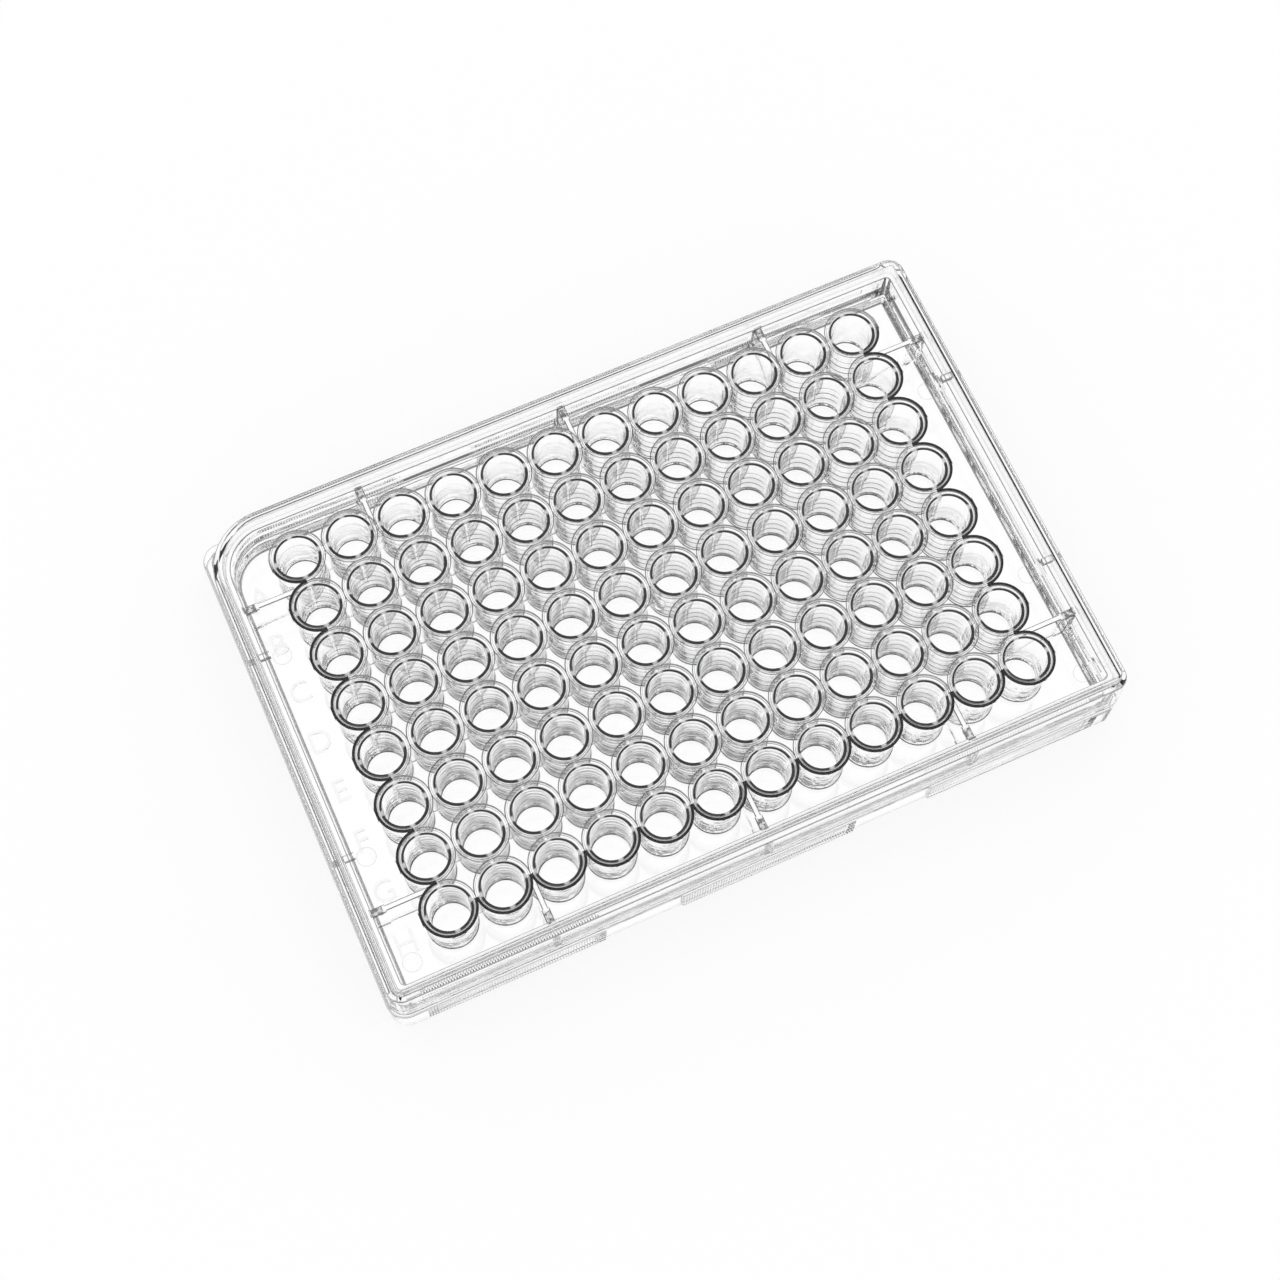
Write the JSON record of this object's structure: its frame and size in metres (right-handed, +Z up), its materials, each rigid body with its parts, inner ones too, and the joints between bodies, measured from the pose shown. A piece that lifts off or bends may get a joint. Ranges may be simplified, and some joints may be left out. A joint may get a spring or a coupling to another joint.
{
  "type": "well plate",
  "caption": "Clear plastic microplate: a flanged rectangular tray carrying a grid of round flat-bottomed wells, under a loose-fitting skirted lid with a raised stacking top",
  "frame": {"origin": "middle of the plate's footprint, on the surface it stands on", "axes": "+X along the long side from column 1 to column 12, +Y from row H to row A, +Z up out of the wells; well A1 is at -X, +Y"},
  "size_m": [0.1278, 0.0854, 0.0157],
  "materials": {
    "clear_polystyrene": "clear, glossy, uncoloured moulded polystyrene"
  },
  "bodies": {
    "root": {"plate": "clear_polystyrene", "lid": "clear_polystyrene"}
  },
  "joints": []
}
